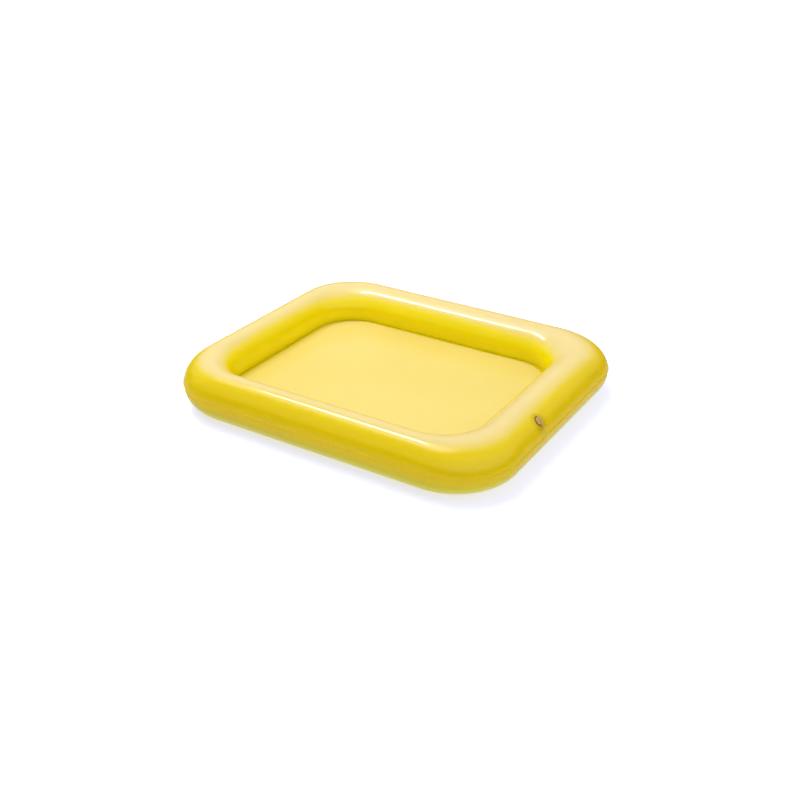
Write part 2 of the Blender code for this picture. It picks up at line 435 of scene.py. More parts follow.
def grid_quads(rows: int, columns: int, rows_close: bool, columns_close: bool) -> np.ndarray:
    """Corner numbers of the quads over a grid of points that is numbered row by row.

    Args:
        rows: Rows of points.
        columns: Points in each row.
        rows_close: Whether the last row joins the first.
        columns_close: Whether the last column joins the first.

    Returns:
        One row of four corners for each quad, in grid order.
    """
    row = np.arange(rows if rows_close else rows - 1)[:, None]
    column = np.arange(columns if columns_close else columns - 1)[None, :]
    following, beside = (row + 1) % rows, (column + 1) % columns
    corners = (
        row * columns + column,
        following * columns + column,
        following * columns + beside,
        row * columns + beside,
    )
    return np.stack(np.broadcast_arrays(*corners), axis=2).reshape(-1, 4)


def mesh_object(
    name: str,
    points: np.ndarray,
    faces: np.ndarray | list,
    material: bpy.types.Material,
    attributes: dict[str, np.ndarray] | None = None,
) -> bpy.types.Object:
    """Makes a mesh object at the origin, smooth but for its sharp folds.

    Args:
        name: The piece's name.
        points: Points, three numbers each.
        faces: Corner numbers of each face.
        material: The finish.
        attributes: Numbers that the mesh carries at each point.

    Returns:
        The new object, in the scene.
    """
    mesh = bpy.data.meshes.new(name)
    listed = faces.tolist() if isinstance(faces, np.ndarray) else faces
    mesh.from_pydata(np.asarray(points).reshape(-1, 3), [], listed)
    mesh.materials.append(material)
    for label, numbers in (attributes or {}).items():
        layer = mesh.attributes.new(label, "FLOAT", "POINT")
        layer.data.foreach_set("value", np.asarray(numbers, np.float32).ravel())
    mesh.shade_smooth()
    mesh.set_sharp_from_angle(angle=SHARP)
    mesh.update()
    made = bpy.data.objects.new(name, mesh)
    bpy.context.scene.collection.objects.link(made)
    return made


def rounded_path(corners: list[tuple[float, float, float]], steps: int = 5) -> np.ndarray:
    """A run of straight lines in a plane with its inner corners rounded.

    At a corner the line is cut back by the radius times the tangent of half its turn, no further than half
    a side, and an arc of that radius takes the corner's place.

    Args:
        corners: Each corner's two numbers, and the radius that it is rounded to. The first and the last
            stay as they are.
        steps: Points along each arc, less one.

    Returns:
        The rounded run.
    """
    run = np.array(corners, float)[:, :2]
    radii = [radius for _, _, radius in corners]
    made = [run[:1]]
    for before, corner, after, radius in zip(run[:-2], run[1:-1], run[2:], radii[1:-1]):
        back, on = before - corner, after - corner
        far, near = np.linalg.norm(back), np.linalg.norm(on)
        back, on = back / far, on / near
        half = math.acos(float(np.clip(back @ on, -1, 1))) / 2
        if radius <= 0 or half > math.radians(88):
            made.append(corner[None])
            continue
        cut = min(radius / math.tan(half), far * 0.48, near * 0.48)
        round_off = cut * math.tan(half)
        middle = corner + (back + on) / np.linalg.norm(back + on) * round_off / math.sin(half)
        first, last = corner + back * cut - middle, corner + on * cut - middle
        sweep = math.atan2(first[0] * last[1] - first[1] * last[0], float(first @ last))
        turn = np.linspace(0, sweep, steps + 1)[:, None]
        across = np.array([-first[1], first[0]])
        made.append(middle + first * np.cos(turn) + across * np.sin(turn))
    made.append(run[-1:])
    return np.concatenate(made)


# ------------------------------------------------------------------ the ring


@dataclass
class Ring:
    """The inflated ring: its outlines, its section, and the two films that make it."""

    length: float
    width: float
    height: float
    seam_margin: float = 0.0020
    seam_lip: float = 0.0010
    outer_corner: float = 0.0990
    tube_width: float = 0.0736
    opening_corner: float = 0.0734
    opening_shift: tuple[float, float] = (-0.0120, -0.0060)
    rest_sink: float = 0.0010
    seam_height: float = 0.0432
    floor_height: float = 0.0246
    inner_lip: float = 0.0060
    film: float = 0.00035
    corner_steps: int = 56
    side_pitch: float = 0.0045
    section_pitch: float = 0.0025
    pucker_depth: float = 0.00030
    pucker_count: float = 15.0
    pucker_reach: float = 0.0160

    @property
    def half_height(self) -> float:
        """Half the ring's height."""
        return self.height / 2

    def outline(self, station: np.ndarray, outer: bool) -> np.ndarray:
        """Points on the outer or the opening's outline.

        A station counts quarter arcs and sides in turn, anticlockwise from the +X end's +Y corner: on an
        even number the point turns by a quarter about the corner's middle, and on an odd one it goes
        straight to the next corner.

        Args:
            station: Station numbers, 0 to 8.
            outer: Whether it is the tube's outer side, and not the opening.

        Returns:
            Two numbers for each station.
        """
        inset = 0.0 if outer else 2 * self.tube_width
        radius = self.outer_corner if outer else self.opening_corner
        shift = np.zeros(2) if outer else np.array(self.opening_shift)
        half = np.array([self.length, self.width]) / 2 - self.seam_margin - inset / 2 - radius
        signs = np.array([(1, 1), (-1, 1), (-1, -1), (1, -1)])
        whole = np.floor(station).astype(int) % 8
        share = station - np.floor(station)
        corner, on_side = whole // 2, whole % 2 == 1
        angle = (corner + np.where(on_side, 1.0, share)) * math.pi / 2
        spoke = radius * np.stack([np.cos(angle), np.sin(angle)], axis=-1)
        here, there = signs[corner] * half, signs[(corner + 1) % 4] * half
        along = np.where(on_side, share, 0.0)[..., None]
        return here + (there - here) * along + spoke + shift

    def spine(self, station: np.ndarray) -> tuple[np.ndarray, np.ndarray, np.ndarray]:
        """The tube's middle line: halfway between the two outlines.

        Args:
            station: Station numbers.

        Returns:
            The middle, the tube's half width and the way outwards at each station.
        """
        outer, opening = self.outline(station, True), self.outline(station, False)
        across = (outer - opening) / 2
        half = np.linalg.norm(across, axis=-1)
        return (outer + opening) / 2, half, across / half[..., None]

    def lift(self, angle: np.ndarray) -> np.ndarray:
        """Height at an angle round the section: the lower half is a little deeper, and flat at rest."""
        reach = np.where(np.sin(angle) >= 0, self.half_height, self.half_height + self.rest_sink)
        return np.maximum(self.half_height + reach * np.sin(angle), 0.0)

    def angle_above(self, z: float) -> float:
        """Angle on the outer side at a height over the tube's middle."""
        return math.asin((z - self.half_height) / self.half_height)

    def angle_below(self, z: float) -> float:
        """Angle past the inner side at a height under the tube's middle."""
        return math.asin((self.half_height - z) / (self.half_height + self.rest_sink))

    def stations(self, extra: np.ndarray) -> np.ndarray:
        """Station numbers round the ring, close in the corners, through some extra ones.

        Args:
            extra: Stations on the +X side, from lowest to highest, that replace the even ones there.

        Returns:
            Station numbers in order.
        """
        made = []
        spans = (self.length - 2 * self.outer_corner, self.width - 2 * self.outer_corner)
        for part in range(8):
            if part % 2 == 0:
                made.append(part + np.arange(self.corner_steps) / self.corner_steps)
                continue
            count = round(spans[part // 2 % 2] / self.side_pitch)
            even = part + np.arange(count) / count
            if part == 7 and len(extra):
                gap = 0.5 / count
                even = even[(even < extra[0] - gap) | (even > extra[-1] + gap)]
                even = np.sort(np.concatenate([even, extra]))
            made.append(even)
        return np.concatenate(made)

    def in_corner(self, station: np.ndarray) -> np.ndarray:
        """A squared sine along each corner, 1 in its middle and 0 at its ends, and 0 on the sides."""
        return np.where(np.floor(station) % 2 == 0, np.sin(math.pi * (station % 1)) ** 2, 0.0)

    def pucker(self, station: np.ndarray, angle: np.ndarray, half: np.ndarray) -> np.ndarray:
        """How far the film stands in or out because of gathers along the outer seam.

        A wave along each corner, strongest in its middle, fades as the square of the way from the seam
        over the puckers' reach. Two waves of unlike pitch keep it from looking even.

        Args:
            station: Station numbers.
            angle: Angle round the section.
            half: The tube's half width.

        Returns:
            How far each point moves outwards.
        """
        turn = 2 * math.pi * self.pucker_count * station
        wave = np.sin(turn + 1.3 * np.sin(turn * 0.37)) + 0.5 * np.sin(turn * 1.61 + 0.8)
        seam_angle = self.angle_above(self.seam_height)
        way = np.abs(angle - seam_angle) * (half + self.half_height) / 2
        fade = np.clip(1 - way / self.pucker_reach, 0, 1) ** 2
        return self.pucker_depth * self.in_corner(station) * wave * fade

    def surface(self, station: np.ndarray, angle: np.ndarray, proud: np.ndarray | float = 0.0) -> np.ndarray:
        """Points on the tube.

        Across the section the point lies half the width times the angle's cosine from the tube's middle,
        and as high as its sine lifts it; then it moves along the section's own normal.

        Args:
            station: Station numbers.
            angle: Angle round the section, from the outer side over the crown.
            proud: How far the point stands out of the tube.

        Returns:
            Three numbers for each point.
        """
        centre, half, outwards = self.spine(station)
        up, out = self.facing(station, angle)
        stand = proud + self.pucker(station, angle, half)
        across = half * np.cos(angle) + stand * out
        flat = centre + outwards * across[..., None]
        z = self.lift(angle) + stand * up
        return np.concatenate([flat, z[..., None]], axis=-1)

    def facing(self, station: np.ndarray, angle: np.ndarray) -> tuple[np.ndarray, np.ndarray]:
        """Which way the tube's surface faces: its normal's part upwards and its part outwards.

        Args:
            station: Station numbers.
            angle: Angle round the section.

        Returns:
            The two parts, each from -1 to 1.
        """
        _, half, _ = self.spine(station)
        rise, run = np.sin(angle) * half, np.cos(angle) * self.half_height
        size = np.hypot(rise, run)
        return rise / size, run / size

    def section(self, film: Film) -> np.ndarray:
        """Angles round the section for one film, evenly apart, from the outer seam to the inner weld.

        Args:
            film: Which film it is.

        Returns:
            The angles, rising for the top film and falling for the bottom one.
        """
        if film is Film.TOP:
            start = self.angle_above(self.seam_height + self.film)
            end = math.pi + self.angle_below(self.floor_height + self.film)
        else:
            start = self.angle_above(self.seam_height - self.film)
            end = self.angle_below(self.floor_height - 2 * self.film) - math.pi
        count = round(abs(end - start) * self.half_height / self.section_pitch)
        return np.linspace(start, end, count + 1)


@dataclass
class ValveSeat:
    """Where the valve sits on the tube, and how the top film's grid opens into its round hole.

    Loops of the grid round the valve are circles out to the calm radius, and ease back into the square
    grid by the outer radius.
    """

    ring: Ring
    y: float = -0.0717
    angle: float = math.radians(42.7)
    hole: float = 0.0078
    flange: float = 0.0145
    flange_proud: float = 0.00045
    calm: float = 0.0165
    outer: float = 0.0240
    flange_edge: float = 0.0014
    hole_rows: int = 12
    ring_rows: int = 11

    def section(self) -> tuple[float, float]:
        """Middle and half width of the +X end's section, along X."""
        high, low = (self.ring.outline(np.array([7.5]), outer)[0, 0] for outer in (True, False))
        return (high + low) / 2, (high - low) / 2

    def frame(self) -> Matrix:
        """The valve's own frame: Z out of the tube, X along it and Y up the slope.

        Returns:
            The matrix from the valve's frame to the tray's.
        """
        centre, half = self.section()
        tall = self.ring.half_height
        x = centre + half * math.cos(self.angle)
        z = tall + tall * math.sin(self.angle)
        lean = math.atan2(math.sin(self.angle) / tall, math.cos(self.angle) / half)
        rows = (
            (0, -math.sin(lean), math.cos(lean), x),
            (1, 0, 0, self.y),
            (0, math.cos(lean), math.sin(lean), z),
            (0, 0, 0, 1),
        )
        return Matrix(rows)

    def arc_table(self) -> tuple[np.ndarray, np.ndarray]:
        """The way along the section from the valve, summed in small steps.

        Returns:
            Angles round the section, and the way to each of them. Both rise.
        """
        _, half = self.section()
        angle = np.linspace(0, math.pi, 2001)
        speed = np.hypot(half * np.sin(angle), self.ring.half_height * np.cos(angle))
        way = np.concatenate([[0], np.cumsum((speed[1:] + speed[:-1]) / 2 * np.diff(angle))])
        return angle, way - np.interp(self.angle, angle, way)

    def marks(self) -> np.ndarray:
        """Ways from the valve at which grid lines run: across the hole, then out to the outer radius.

        Returns:
            The ways, rising.
        """
        inner = np.linspace(-self.hole, self.hole, self.hole_rows + 1)
        beyond = np.linspace(self.hole, self.outer, self.ring_rows + 1)[1:]
        return np.concatenate([-beyond[::-1], inner, beyond])

    def grid(self) -> tuple[np.ndarray, np.ndarray, np.ndarray]:
        """The top film's grid, opened round the valve.

        A grid line's distance from the valve is the larger of its two ways from it. In the calm ring a
        point moves along its own ray until it is that far away in a straight line, so square loops turn
        into circles.

        Returns:
            Station and angle of each grid point, and which grid quads are inside the hole.
        """
        angles, ways = self.arc_table()
        marks = self.marks()
        line = self.ring.stations(self.station_of(marks, np.full_like(marks, self.angle)))
        plain = self.ring.section(Film.TOP)
        local = np.interp(marks, ways, angles)
        gap = 0.4 * abs(plain[1] - plain[0])
        plain = plain[(plain < local[0] - gap) | (plain > local[-1] + gap)]
        section = np.sort(np.concatenate([plain, local]))
        station, angle = np.meshgrid(line, section, indexing="ij")
        along = np.broadcast_to(self.place(line, np.full_like(line, self.angle))[:, None], station.shape)
        up = np.interp(angle, angles, ways)
        place = self.place(station, angle)
        square = np.where(station >= 7, np.maximum(np.abs(along), np.abs(up)), self.outer)
        straight = np.maximum(np.hypot(place, up), 1e-9)
        ease = 1 - eased(square, self.calm, self.outer)
        scale = 1 + ease * (square / straight - 1)
        near = ease > 0
        angle = np.where(near, np.interp(up * scale, ways, angles), angle)
        station = np.where(near, self.station_of(place * scale, angle), station)
        inside = square < self.hole * 0.999
        gone = inside[:, :-1] | inside[:, 1:]
        return station, angle, gone | np.roll(gone, -1, axis=0)

    def place(self, station: np.ndarray, angle: np.ndarray) -> np.ndarray:
        """How far along Y from the valve a point of the tube lies."""
        centre, half, outwards = self.ring.spine(station)
        return centre[..., 1] + outwards[..., 1] * half * np.cos(angle) - self.y

    def station_of(self, place: np.ndarray, angle: np.ndarray) -> np.ndarray:
        """The station on the +X side where a point of the tube is that far along Y from the valve.

        Args:
            place: How far along Y from the valve.
            angle: Angle round the section.

        Returns:
            Station numbers.
        """
        low = self.place(np.full_like(angle, 7.0), angle)
        high = self.place(np.full_like(angle, SIDE_END), angle)
        return 7 + (place - low) / (high - low)

    def raised(self, station: np.ndarray, angle: np.ndarray) -> np.ndarray:
        """How far the film stands up over the flange welded under it, with a soft edge.

        Args:
            station: Station numbers.
            angle: Angle round the section.

        Returns:
            The height over the plain tube.
        """
        angles, ways = self.arc_table()
        away = np.hypot(self.place(station, angle), np.interp(angle, angles, ways))
        high = 1 - eased(away, self.flange, self.flange + self.flange_edge)
        return np.where(station >= 7, self.flange_proud * high, 0.0)


@dataclass
class InflatedRing:
    """The two films as pieces, with their weld lips."""

    ring: Ring
    seat: ValveSeat
    finish: FilmFinish
    # Masks for the painted sheen on the crown and the painted light on the inner side.
    crown_sheen_lean: float = math.radians(12)
    crown_sheen_span: tuple[float, float] = (0.72, 1.03)
    inner_painted_light_span: tuple[float, float] = (0.2, 0.7)
    under_span: tuple[float, float] = (0.1, 0.5)
    lip_columns: int = 4
    lip_wave: float = 0.00030
    lip_ripples: int = 11
    body: str = "tray"

    @property
    def lips(self) -> tuple[tuple[int, int], tuple[int, int]]:
        """How many columns of points the lips add before and after the skin's own."""
        return (0, 0), (self.lip_columns, self.lip_columns)

    def film(self, name: str, film: Film, node: str) -> bpy.types.Object:
        """Builds one film, from the outer seam's lip to the inner weld's lip.

        Args:
            name: The piece's name.
            film: Which film it is.
            node: The frame's node that it stands for.

        Returns:
            The finished piece.
        """
        ring = self.ring
        if film is Film.TOP:
            station, angle, gone = self.seat.grid()
            proud = self.seat.raised(station, angle)
        else:
            station, angle = np.meshgrid(ring.stations(np.array([])), ring.section(film), indexing="ij")
            gone = np.zeros((station.shape[0], station.shape[1] - 1), bool)
            proud = np.zeros(station.shape)
        skin = ring.surface(station, angle, proud)
        rim = station[:, 0]
        _, _, outwards = ring.spine(rim)
        seam = self.lip(skin[:, 0], outwards, ring.seam_lip, rim, self.lip_wave)[:, ::-1]
        weld = self.lip(skin[:, -1], -outwards, ring.inner_lip, rim, 0.0)
        points = np.concatenate([seam, skin, weld], axis=1)
        quads = grid_quads(*points.shape[:2], True, False)
        quads = quads[~np.pad(gone, self.lips).ravel()]
        if film is Film.BOTTOM:
            quads = quads[:, ::-1]
        made = mesh_object(name, points, quads, self.finish.material(), self.carried(station, angle))
        drop_loose(made)
        thicken(made, ring.film)
        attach(made, self.body)
        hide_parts(node)
        return made

    def carried(self, station: np.ndarray, angle: np.ndarray) -> dict[str, np.ndarray]:
        """Numbers that the mesh carries for its finish.

        Both lips are weld. On the skin the crown's painted sheen, the inner side's painted light and the
        underside each ease from 0 to 1 with how far the film faces up and a little inwards, inwards, or down.

        Args:
            station: Station numbers of the skin's points.
            angle: Angle round the section.

        Returns:
            The numbers at each point, by name.
        """
        up, out = self.ring.facing(station, angle)
        lean = up * math.cos(self.crown_sheen_lean) - out * math.sin(self.crown_sheen_lean)
        return {
            "weld": np.pad(np.zeros(station.shape), self.lips, constant_values=1.0),
            "crown": np.pad(eased(lean, *self.crown_sheen_span), self.lips),
            "inner_painted_light": np.pad(eased(-out, *self.inner_painted_light_span), self.lips),
            "under": np.pad(eased(-up, *self.under_span), self.lips),
        }

    def lip(
        self, edge: np.ndarray, way: np.ndarray, reach: float, station: np.ndarray, wave: float
    ) -> np.ndarray:
        """A flat weld lip: steps from an edge along a level direction, rippling up and down in corners.

        Args:
            edge: The skin's edge.
            way: Level direction at each station.
            reach: The lip's width.
            station: Station numbers.
            wave: Height of the ripple at the lip's free edge.

        Returns:
            Points, from the one beside the edge to the free edge.
        """
        share = (np.arange(self.lip_columns) + 1) / self.lip_columns
        flat = edge[:, None, :2] + way[:, None, :] * (share * reach)[None, :, None]
        turn = 2 * math.pi * self.lip_ripples * station
        ripple = wave * self.ring.in_corner(station) * np.sin(turn)
        z = edge[:, None, 2] + ripple[:, None] * share
        return np.concatenate([flat, z[..., None]], axis=2)


@dataclass
class FloorSheet:
    """The taut sheet across the ring, with its margin between the two films' lips."""

    ring: Ring
    finish: FilmFinish
    rows: int = 150
    columns: int = 120
    sag: float = 0.0008
    slack: float = 0.00035
    weld_reach: float = 0.0080
    weld_and_painted_shade_reach: float = 0.0190
    body: str = "tray"

    def cut(self) -> tuple[np.ndarray, np.ndarray, float]:
        """The sheet's outline, which reaches into the films' crease all round, less the films' thickness.

        Returns:
            Its lowest corner, its highest corner, and the radius that its corners are rounded to.
        """
        ring = self.ring
        sides = np.array([1.5, 3.5, 5.5, 7.5])
        crease = 1 - math.cos(ring.angle_below(ring.floor_height))
        middle, _, _ = ring.spine(sides)
        opening = ring.outline(sides, False)
        ease = crease * np.abs(opening - middle).sum(axis=1) - 2 * ring.film
        high = np.array([opening[3, 0] + ease[3], opening[0, 1] + ease[0]])
        low = np.array([opening[1, 0] - ease[1], opening[2, 1] - ease[2]])
        return low, high, ring.opening_corner + float(ease.mean())

    def grid(self, middle: np.ndarray, size: np.ndarray, radius: float) -> tuple[np.ndarray, np.ndarray]:
        """Points of the sheet seen from above.

        A row across the sheet is as long as the rounded outline there: the half length, less the corner's
        radius, plus that radius times the cosine of the angle up the corner. Rows in the corners are
        evenly apart in that angle.

        Args:
            middle: The sheet's middle.
            size: Its half length and half width.
            radius: Its corners' radius.

        Returns:
            X and Y of each point.
        """
        bend = np.linspace(0, math.pi / 2, self.columns // 5)
        side = size[1] - radius
        straight = np.linspace(-side, side, self.columns - 2 * len(bend) + 2)[1:-1]
        lift, spread = radius * np.sin(bend), radius * np.cos(bend)
        y = np.concatenate([-side - lift[::-1], straight, side + lift])
        spread = np.concatenate([spread[::-1], np.full(len(straight), radius), spread])
        x = middle[0] + np.linspace(-1, 1, self.rows)[:, None] * (size[0] - radius + spread)
        return x, np.broadcast_to(middle[1] + y, x.shape)

    def piece(self) -> bpy.types.Object:
        """Builds the sheet.

        It sags a little, with a slack wave made of two slanted sines, and both fade towards the edge as
        the fourth power of the way there. The weld's deeper colour fades inwards from the edge; on the -X
        side it reaches further, and that extra width is painted shade of the wall beside it.

        Returns:
            The finished piece.
        """
        ring = self.ring
        low, high, radius = self.cut()
        middle, size = (high + low) / 2, (high - low) / 2
        x, y = self.grid(middle, size, radius)
        fade = 1 - np.linspace(-1, 1, self.rows)[:, None] ** 4
        fade = fade * (1 - ((y - middle[1]) / size[1]) ** 4)
        wave = np.sin(31 * x + 9 * y + 0.7) * np.sin(23 * y - 14 * x + 0.3)
        z = ring.floor_height + fade * (self.slack * wave - self.sag)
        points = np.stack([x, y, z], axis=2)
        # On the -X side the weld colour reaches further; the extra width is painted shade of the wall over
        # it.
        end = np.minimum((x - low[0]) / self.weld_and_painted_shade_reach, (high[0] - x) / self.weld_reach)
        side = np.minimum(y - low[1], high[1] - y) / self.weld_reach
        weld = 1 - smooth_step(np.minimum(end, side))
        faces = grid_quads(*x.shape, False, False)
        made = mesh_object("floor_skin", points, faces, self.finish.material(), {"weld": weld})
        thicken(made, ring.film)
        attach(made, self.body)
        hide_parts("floor_sheet")
        self.declare(size, radius)
        return made

    def declare(self, size: np.ndarray, radius: float) -> None:
        """Logs the length and width of the sheet's cut, flat before it was welded in.

        Args:
            size: Its half length and half width.
            radius: Its corners' radius.
        """
        width, length = (float(2 * side) for side in size[::-1])
        area = width * length - (4 - math.pi) * radius**2
        LOG.info("floor sheet cut %.0f x %.0f mm", 1000 * length, 1000 * width)


# ------------------------------------------------------------------ the valve


@dataclass
class Valve:
    """The soft clear valve: its pieces are turned about its axis, or bent along it, in the seat's frame."""

    seat: ValveSeat
    finish: ClearFinish
    turns: int = 72
    film: float = 0.00035
    flange_gap: float = 0.00005
    flange_thickness: float = 0.0008
    rim: float = 0.0074
    mouth: float = 0.0008
    stem_length: float = 0.0160
    mouth_radius: float = 0.0050
    base_radius: float = 0.0055
    bead_radius: float = 0.0057
    bead: float = 0.0012
    bore: float = 0.0037
    web_wall: float = 0.0005
    web_depth: float = 0.0130
    cap_radius: float = 0.0062
    cap_thickness: float = 0.0014
    dimple_radius: float = 0.0014
    dimple_rim: float = 0.0024
    dimple_depth: float = 0.0003
    gap: float = 0.0003
    plug_radius: float = 0.0034
    plug_length: float = 0.0070
    plug_taper: float = 0.0008
    ridge: float = 0.0002
    ridge_below: float = 0.0028
    ridge_half: float = 0.0006
    strap_width: float = 0.0030
    strap_waist: float = 0.25
    strap_thickness: float = 0.0008
    strap_reach: float = 0.0098
    strap_drop: float = 0.0006
    strap_bite: float = 0.0004
    flap_radius: float = 0.0045
    flap_thickness: float = 0.0005

    def placed(self, points: np.ndarray) -> np.ndarray:
        """Points of the valve's own frame, in the tray's."""
        frame = np.array(self.seat.frame())
        return np.asarray(points).reshape(-1, 3) @ frame[:3, :3].T + frame[:3, 3]

    def on_axis(self, height: float) -> Vector:
        """The point of the valve's axis at a height in its own frame, in the tray's."""
        return Vector(self.placed(np.array([0, 0, height]))[0])

    def turned(
        self, name: str, profile: np.ndarray, bend: Callable[[np.ndarray], np.ndarray] | None = None
    ) -> bpy.types.Object:
        """Turns a profile about the valve's axis.

        Args:
            name: The piece's name.
            profile: Radius and height of each point. Where both ends are on the axis a fan of triangles
                closes each pole, and otherwise the profile closes on itself.
            bend: Changes the turned points, if given.

        Returns:
            The piece.
        """
        capped = profile[0, 0] < 1e-9
        run = profile[1:-1] if capped else profile
        angle = (np.arange(self.turns) * 2 * math.pi / self.turns)[:, None]
        x, y = run[:, 0] * np.cos(angle), run[:, 0] * np.sin(angle)
        points = np.stack([x, y, np.broadcast_to(run[:, 1], x.shape)], axis=2)
        if bend:
            points = bend(points)
        count = len(run)
        faces = grid_quads(self.turns, count, True, not capped).tolist()
        points = points.reshape(-1, 3)
        if capped:
            here = np.arange(self.turns) * count
            there = np.roll(here, -1)
            top = np.full(self.turns, len(points))
            faces += np.stack([top, here, there], axis=1).tolist()
            faces += np.stack([top + 1, there + count - 1, here + count - 1], axis=1).tolist()
            poles = [(0, 0, profile[0, 1]), (0, 0, profile[-1, 1])]
            points = np.concatenate([points, poles])
        made = mesh_object(name, self.placed(points), faces, self.finish.material())
        point_outwards(made)
        return made

    def flange(self) -> bpy.types.Object:
        """The ring welded under the film, bent to the tube.

        Returns:
            The piece, in its node's place.
        """
        top = -self.film - self.flange_gap
        low = top - self.flange_thickness
        rim, reach = self.rim, self.seat.flange
        middle = ((rim + reach) / 2, top, 0.0)
        edge = 0.0003
        corners = [middle, (reach, top, edge), (reach, low, edge), (rim, low, edge), (rim, top, edge), middle]
        profile = rounded_path(corners)[:-1]
        _, half = self.seat.section()
        tall = self.seat.ring.half_height
        along = math.hypot(half * math.sin(self.seat.angle), tall * math.cos(self.seat.angle))
        curve = along**3 / (half * tall)

        def bent(points: np.ndarray) -> np.ndarray:
            """Lowers each point by how far the tube's circle has fallen at its way up the slope."""
            fall = curve - np.sqrt(curve**2 - points[..., 1] ** 2)
            return points - fall[..., None] * np.array([0, 0, 1])

        made = self.turned("valve_flange_ring", profile, bent)
        return self.finished(made, "tray", "valve_flange")

    def web(self) -> bpy.types.Object:
        """The pocket's wall: down from the hole's rim, drawing in to the barrel's foot.

        Returns:
            The piece, in its node's place.
        """
        wall, rim, base = self.web_wall, self.rim, self.base_radius
        top, foot = -self.film, -self.web_depth
        corners = [
            (rim + wall, top - 1.5 * wall, 0.0),
            (rim + wall, top, 0.0004),
            (rim - wall, top - wall, 0.0008),
            (base + 2 * wall, foot, 0.0020),
            (base + wall / 2, foot - 3 * wall, 0.0002),
            (base + wall, foot - 4 * wall, 0.0020),
            (base + 3 * wall, foot, 0.0010),
            (rim + wall, top - 3 * wall, 0.0004),
            (rim + wall, top - 1.5 * wall, 0.0),
        ]
        ring = rounded_path(corners)[:-1]
        made = self.turned("valve_pocket_wall", self.close_spaced(ring))
        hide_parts("valve_web")
        start, end = self.on_axis(top), self.on_axis(foot)
        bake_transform(made)
        return made

    def close_spaced(self, ring: np.ndarray, pitch: float = 0.0008) -> np.ndarray:
        """A closed profile with its long sides split evenly, so that it bends smoothly.

        Args:
            ring: The profile's points.
            pitch: The longest side that is left.

        Returns:
            The profile with more points.
        """
        following = np.roll(ring, -1, axis=0)
        count = np.maximum(np.ceil(np.linalg.norm(following - ring, axis=1) / pitch).astype(int), 1)
        start = np.repeat(ring, count, axis=0)
        step = np.repeat(following - ring, count, axis=0)
        first = np.repeat(np.cumsum(count) - count, count)
        share = (np.arange(count.sum()) - first) / np.repeat(count, count)
        return start + step * share[:, None]

    def barrel(self) -> bpy.types.Object:
        """The tube that is blown through, with a bead round its mouth and a softened foot.

        Returns:
            The piece, in its node's place.
        """
        mouth, base = self.mouth, self.mouth - self.stem_length
        bore, bead = self.bore, self.bead
        corners = [
            (bore, (mouth + base) / 2, 0.0),
            (bore, mouth, 0.0004),
            (self.bead_radius, mouth, 0.0006),
            (self.bead_radius, mouth - bead, 0.0005),
            (self.mouth_radius, mouth - 1.5 * bead, 0.0006),
            (self.base_radius, base, 0.0005),
            (bore, base, 0.0003),
            (bore, (mouth + base) / 2, 0.0),
        ]
        made = self.turned("valve_barrel", rounded_path(corners)[:-1])
        return self.finished(made, "stem", "valve_stem")

    def stopper(self) -> bpy.types.Object:
        """The plug with its low domed cap, a dimple in the cap, and a ridge that grips the bore.

        Returns:
            The piece, in its node's place.
        """
        seat = self.mouth + self.gap
        crown = seat + self.cap_thickness
        tip = seat - self.plug_length
        cap, plug, ridge = self.cap_radius, self.plug_radius, seat - self.ridge_below
        corners = [
            (0.0, crown - self.dimple_depth, 0.0),
            (self.dimple_radius, crown - self.dimple_depth, 0.0008),
            (self.dimple_rim, crown + 0.0001, 0.0008),
            (cap - 0.0010, crown - 0.0001, 0.0016),
            (cap, crown - self.cap_thickness / 2, 0.0004),
            (cap, seat, 0.0003),
            (plug, seat, 0.0004),
            (plug, ridge + self.ridge_half, 0.0003),
            (plug + self.ridge, ridge, 0.0004),
            (plug, ridge - self.ridge_half, 0.0003),
            (plug, tip + 1.5 * self.plug_taper, 0.0010),
            (plug - self.plug_taper, tip, 0.0006),
            (0.0, tip, 0.0),
        ]
        made = self.turned("valve_plug", rounded_path(corners))
        return self.finished(made, "stopper", "valve_stopper")

    def strap(self) -> bpy.types.Object:
        """The strap: a rounded band along a level run out, half a circle up, and a level run back.

        Returns:
            The piece, in its node's place.
        """
        low, high = self.mouth - self.strap_drop, self.mouth + self.gap + self.cap_thickness / 2
        bend = (high - low) / 2
        knee = self.strap_reach - bend
        turn = np.linspace(-math.pi / 2, math.pi / 2, 15)
        out = np.linspace(self.bead_radius - self.strap_bite, knee, 12)[:-1]
        back = np.linspace(knee, self.cap_radius - self.strap_bite, 12)[1:]
        reach = np.concatenate([out, knee + bend * np.cos(turn), back])
        rise = (high + low) / 2 + bend * np.sin(turn)
        lift = np.concatenate([np.full_like(out, low), rise, np.full_like(back, high)])
        step = np.gradient(np.column_stack([reach, lift]), axis=0)
        step /= np.linalg.norm(step, axis=1, keepdims=True)
        waist = 1 - self.strap_waist * np.sin(np.linspace(0, math.pi, len(reach)))
        turn = np.linspace(0, 2 * math.pi, 21)[:-1]
        wide = self.strap_width / 2 * waist[:, None] * blunt(np.cos(turn))
        thick = self.strap_thickness / 2 * blunt(np.sin(turn))
        y = -(reach[:, None] - step[:, 1:] * thick)
        z = lift[:, None] + step[:, :1] * thick
        points = np.stack([wide, y, z], axis=2)
        rows, columns = wide.shape
        faces = grid_quads(rows, columns, False, True).tolist()
        last = (rows - 1) * columns
        faces += [list(range(columns)), list(range(last, last + columns))]
        made = mesh_object("valve_strap", self.placed(points), faces, self.finish.material())
        point_outwards(made)
        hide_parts("valve_tether")
        start, end = self.on_axis(low), self.on_axis(high)
        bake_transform(made)
        return made

